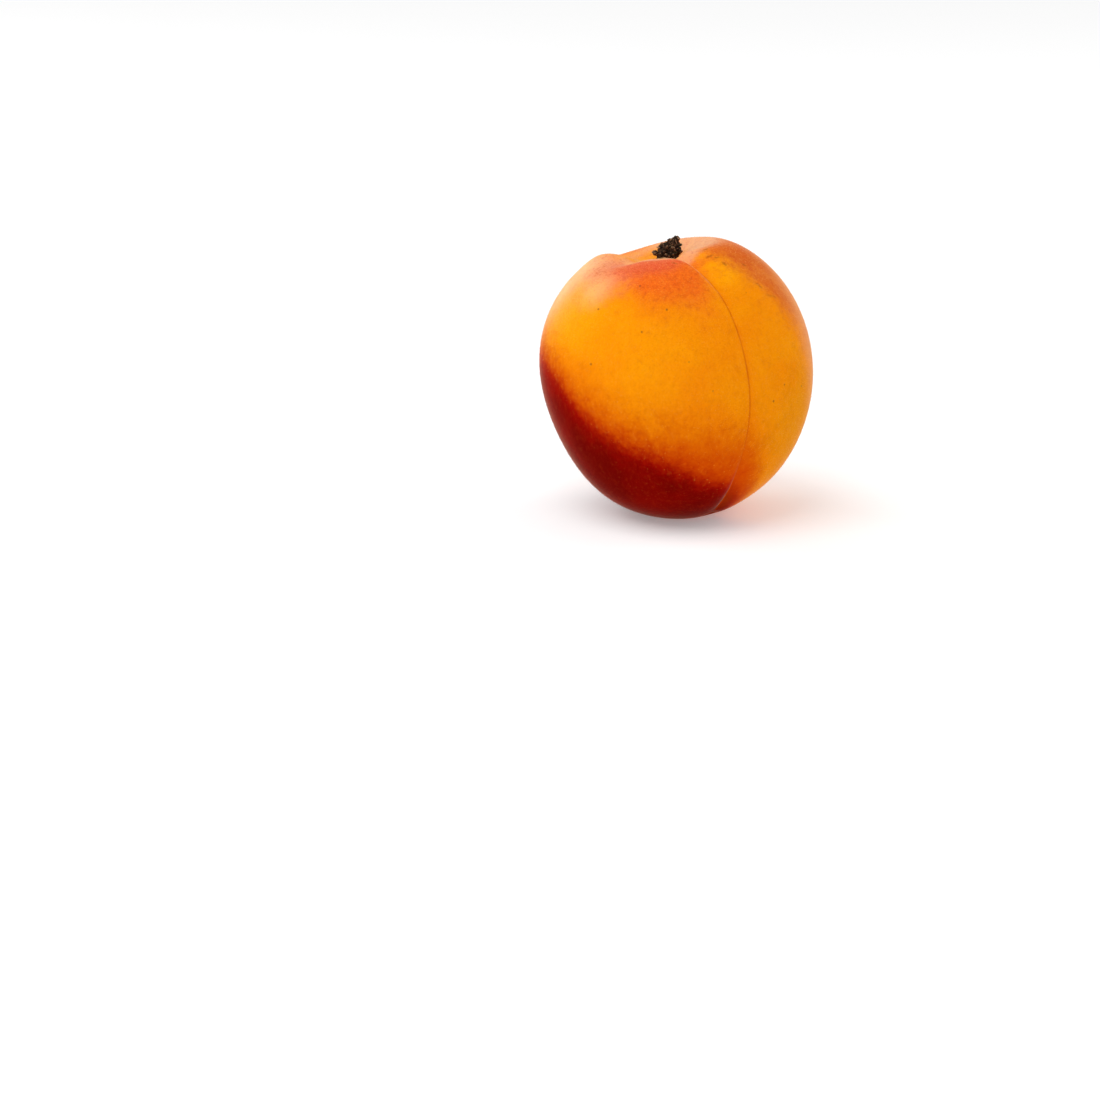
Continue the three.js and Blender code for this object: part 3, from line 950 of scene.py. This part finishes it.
STEM_COLOURS = {
    "black": (0.010, 0.006, 0.004),
    "brown": (0.05, 0.022, 0.011),
    "olive": (0.10, 0.075, 0.03),
    "tan raised edge": (0.42, 0.25, 0.14),
    "tan fleck": (0.30, 0.19, 0.11),
    # Painted shade for the stub's hollows.
    "hollow": (0.004, 0.003, 0.002),
}


def stem_material():
    n = Nodes("stem_bark")
    patchy = n.noise(0.8, detail=4, roughness=0.65)
    fine = n.noise(0.2, detail=4, roughness=0.7)
    colour = n.mix(n.step(patchy, 0.35, 0.62), STEM_COLOURS["black"], STEM_COLOURS["brown"])
    colour = n.mix(n.math("MULTIPLY", n.step(n.noise(0.5), 0.55, 0.7), 0.6), colour, STEM_COLOURS["olive"])
    # Tan on the edges that stand out.
    edge = n.step(n.attribute("edge"), 0.53, 0.7)
    edge = n.math("MULTIPLY", edge, n.step(n.noise(0.8), 0.4, 0.58))
    colour = n.mix(n.math("MULTIPLY", edge, 0.85), colour, STEM_COLOURS["tan raised edge"])
    colour = n.mix(n.math("MULTIPLY", n.step(fine, 0.6, 0.76), 0.3), colour, STEM_COLOURS["tan fleck"])
    # Painted shade: near black in the stub's hollows.
    hollow = n.step(n.attribute("edge"), 0.47, 0.3)
    colour = n.mix(n.math("MULTIPLY", hollow, 0.9), colour, STEM_COLOURS["hollow"])
    n.set(Base_Color=colour, Roughness=n.math("ADD", 0.7, n.math("MULTIPLY", fine, 0.25)))
    n.shader.inputs["Specular IOR Level"].default_value = 0.15
    n.set(Normal=n.bump(fine, 0.1 * MM, 0.8))
    return n.material


stem = add_stem()
stem.data.materials.append(stem_material())
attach(stem, "root")
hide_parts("stem")


# Floor, light and background.
FLOOR_HALF_SIDE = 4.0
FLOOR_DROP = 0.02 * MM
FLOOR_GREY = 0.82
# The floor's own glow near the fruit and how much more it has far off, beyond the lamps' reach.
FLOOR_GLOW = 0.24
FLOOR_GLOW_FAR = 0.32
FLOOR_GLOW_REACH_MM = (400, 2400)
WORLD_STRENGTH = 0.6
# Lamps: name, azimuth from the front, elevation, distance and side in metres, and power in watts.
LAMPS = [
    ("key_above", -38, 60, 1.1, 0.8, 5.8),
    ("left_back", -115, 30, 1.0, 0.6, 2.6),
    ("right_back", 120, 25, 1.0, 0.5, 1.8),
]


def add_floor():
    side = FLOOR_HALF_SIDE
    points = [(-side, -side, 0), (side, -side, 0), (side, side, 0), (-side, side, 0)]
    floor = mesh_object("floor", points, [(0, 1, 2, 3)])
    floor.location.z = -FLOOR_DROP
    n = Nodes("pale_floor")
    shader = n.shader.inputs
    shader["Base Color"].default_value = (FLOOR_GREY, FLOOR_GREY, FLOOR_GREY, 1)
    shader["Roughness"].default_value = 0.8
    shader["Specular IOR Level"].default_value = 0.0
    shader["Emission Color"].default_value = (1, 1, 1, 1)
    far_off = n.step(n.vector("LENGTH", n.mm), *FLOOR_GLOW_REACH_MM)
    n.set(Emission_Strength=n.math("ADD", FLOOR_GLOW, n.math("MULTIPLY", far_off, FLOOR_GLOW_FAR)))
    floor.data.materials.append(n.material)


def add_light(name, azimuth, elevation, distance, size, power):
    """A soft square light that faces the fruit. Azimuth is from the front towards +X, in degrees."""
    a, e = math.radians(azimuth), math.radians(elevation)
    way = Vector((math.sin(a) * math.cos(e), -math.cos(a) * math.cos(e), math.sin(e)))
    data = bpy.data.lights.new(name, "AREA")
    data.shape = "SQUARE"
    data.size = size
    data.energy = power
    light = bpy.data.objects.new(name, data)
    bpy.context.scene.collection.objects.link(light)
    light.location = (fruit_low + fruit_high) / 2 + way * distance
    light.rotation_mode = "QUATERNION"
    light.rotation_quaternion = way.to_track_quat("Z", "Y")
    light.visible_camera = False


def add_world():
    world = bpy.data.worlds.new("white_room")
    world.use_nodes = True
    background = world.node_tree.nodes["Background"].inputs
    background["Color"].default_value = (1, 1, 1, 1)
    background["Strength"].default_value = WORLD_STRENGTH
    bpy.context.scene.world = world


add_floor()
add_world()
for lamp in LAMPS:
    add_light(*lamp)
bpy.context.scene.view_settings.view_transform = "Standard"
